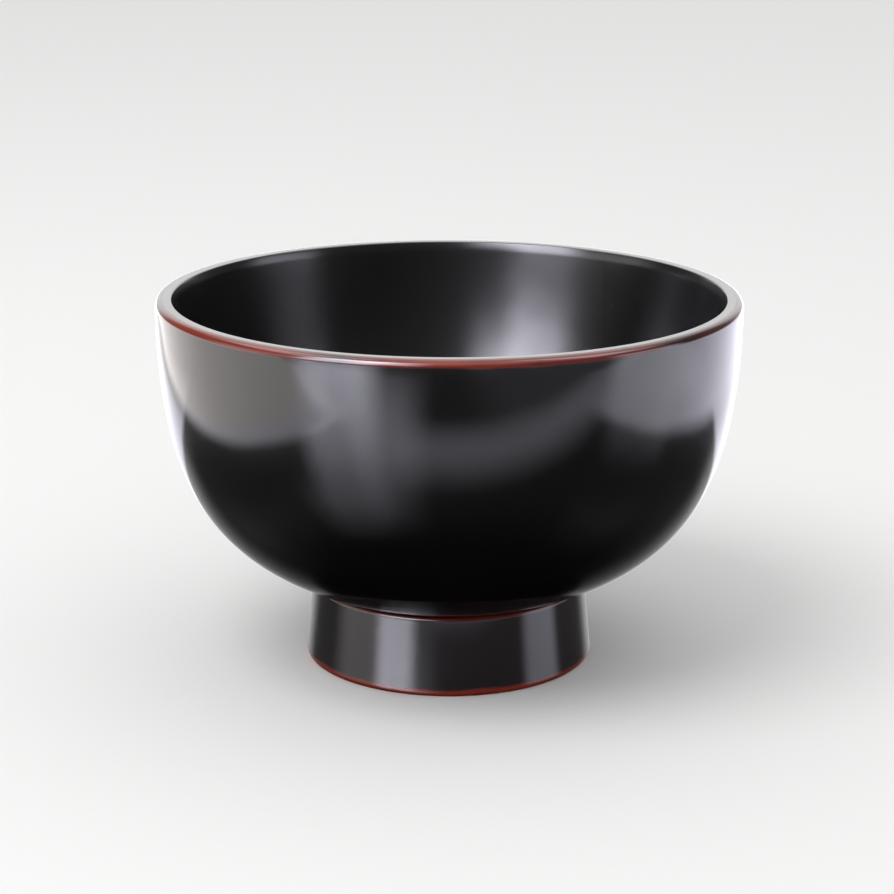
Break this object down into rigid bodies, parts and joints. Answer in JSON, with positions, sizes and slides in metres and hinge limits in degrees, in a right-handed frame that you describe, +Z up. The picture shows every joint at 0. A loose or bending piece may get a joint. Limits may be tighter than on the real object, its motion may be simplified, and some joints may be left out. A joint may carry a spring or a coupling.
{
  "type": "rice bowl",
  "caption": "Round black-lacquered wooden bowl with a deep rounded body, a red-edged lip and a tall flared foot ring with a recess beneath.",
  "frame": {"origin": "centre of the foot ring's sole, on the surface that the bowl stands on", "axes": "+Z up along the turning axis, from the foot to the lip; X and Y are alike, because the bowl is round"},
  "size_m": [0.1202, 0.1202, 0.077],
  "materials": {
    "turned_wood": "close-grained hardwood, turned and left bare under the layers",
    "lacquer_glue": "dark brown lacquer and rice paste glue, set hard",
    "hemp_cloth": "coarse plain-woven hemp, stuck down with lacquer",
    "levelling_paste": "brown paste of lacquer and wood flour, rubbed flat",
    "ground_coat": "grey-black stone-flour ground, rubbed matt",
    "red_lacquer": "vermilion middle coat, rubbed to a soft sheen",
    "black_lacquer": "black top coat, glossy, wearing thin to red along the lip and the foot's edges"
  },
  "bodies": {
    "root": {"bowl_core": "turned_wood", "foot_ring": "turned_wood", "foot_glue": "lacquer_glue", "bottom_cloth": "hemp_cloth", "rim_cloth": "hemp_cloth", "foot_cloth": "hemp_cloth", "inner_paste": "levelling_paste", "outer_paste": "levelling_paste", "foot_paste": "levelling_paste", "well_paste": "levelling_paste", "inner_ground": "ground_coat", "inner_red_coat": "red_lacquer", "inner_black_coat": "black_lacquer", "outer_ground": "ground_coat", "outer_red_coat": "red_lacquer", "outer_black_coat": "black_lacquer", "foot_ground": "ground_coat", "foot_red_coat": "red_lacquer", "foot_black_coat": "black_lacquer", "well_ground": "ground_coat", "well_red_coat": "red_lacquer", "well_black_coat": "black_lacquer"}
  },
  "joints": []
}
